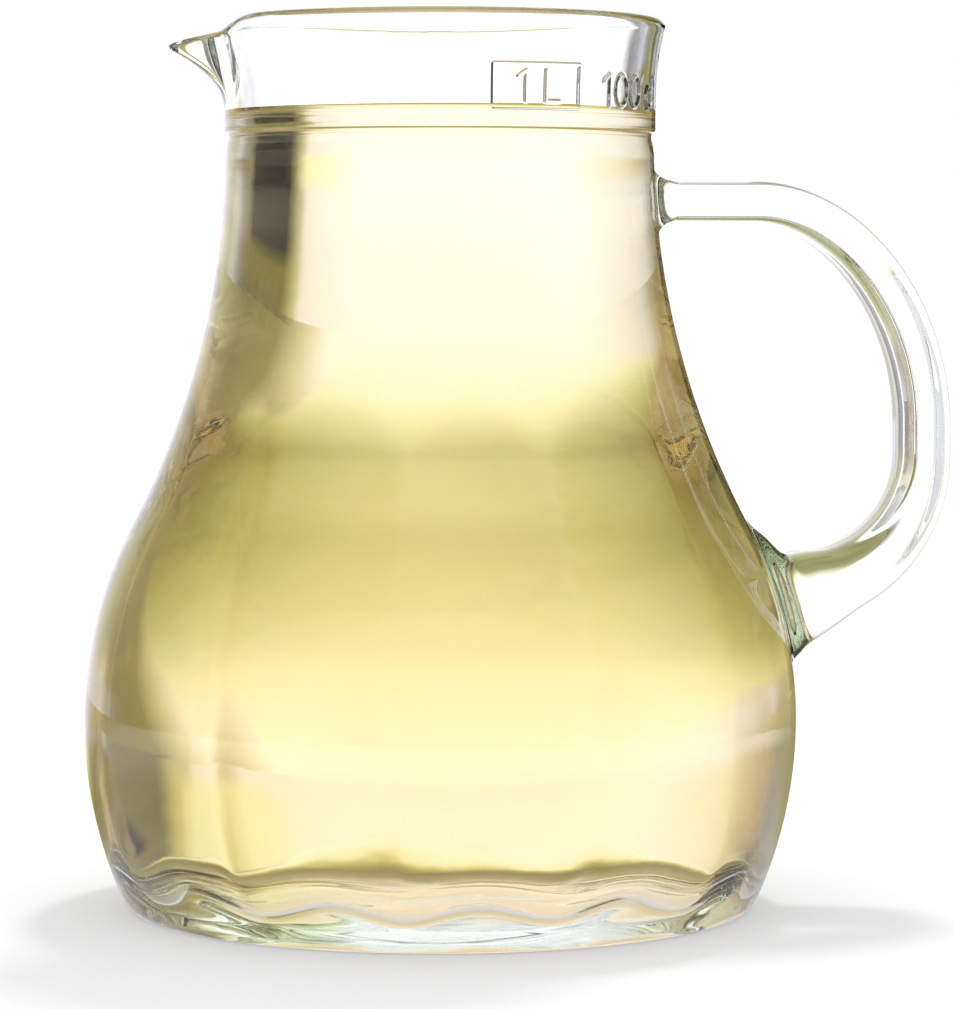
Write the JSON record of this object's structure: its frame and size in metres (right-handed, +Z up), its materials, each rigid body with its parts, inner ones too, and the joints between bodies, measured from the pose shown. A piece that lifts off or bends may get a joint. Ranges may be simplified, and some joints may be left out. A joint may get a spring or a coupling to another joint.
{
  "type": "glass carafe",
  "caption": "Clear pressed-glass measuring carafe: pear-shaped body, straight collar with a pinched pouring lip, solid strap handle.",
  "frame": {"origin": "on the axis of the body, at the plane that the foot ring stands on", "axes": "+Z up along the axis of the body, +X towards the handle, -X towards the pouring lip"},
  "size_m": [0.1575, 0.1284, 0.1597],
  "materials": {
    "glass": "clear soda-lime glass, fire polished"
  },
  "bodies": {
    "root": {"carafe": "glass"}
  },
  "joints": []
}
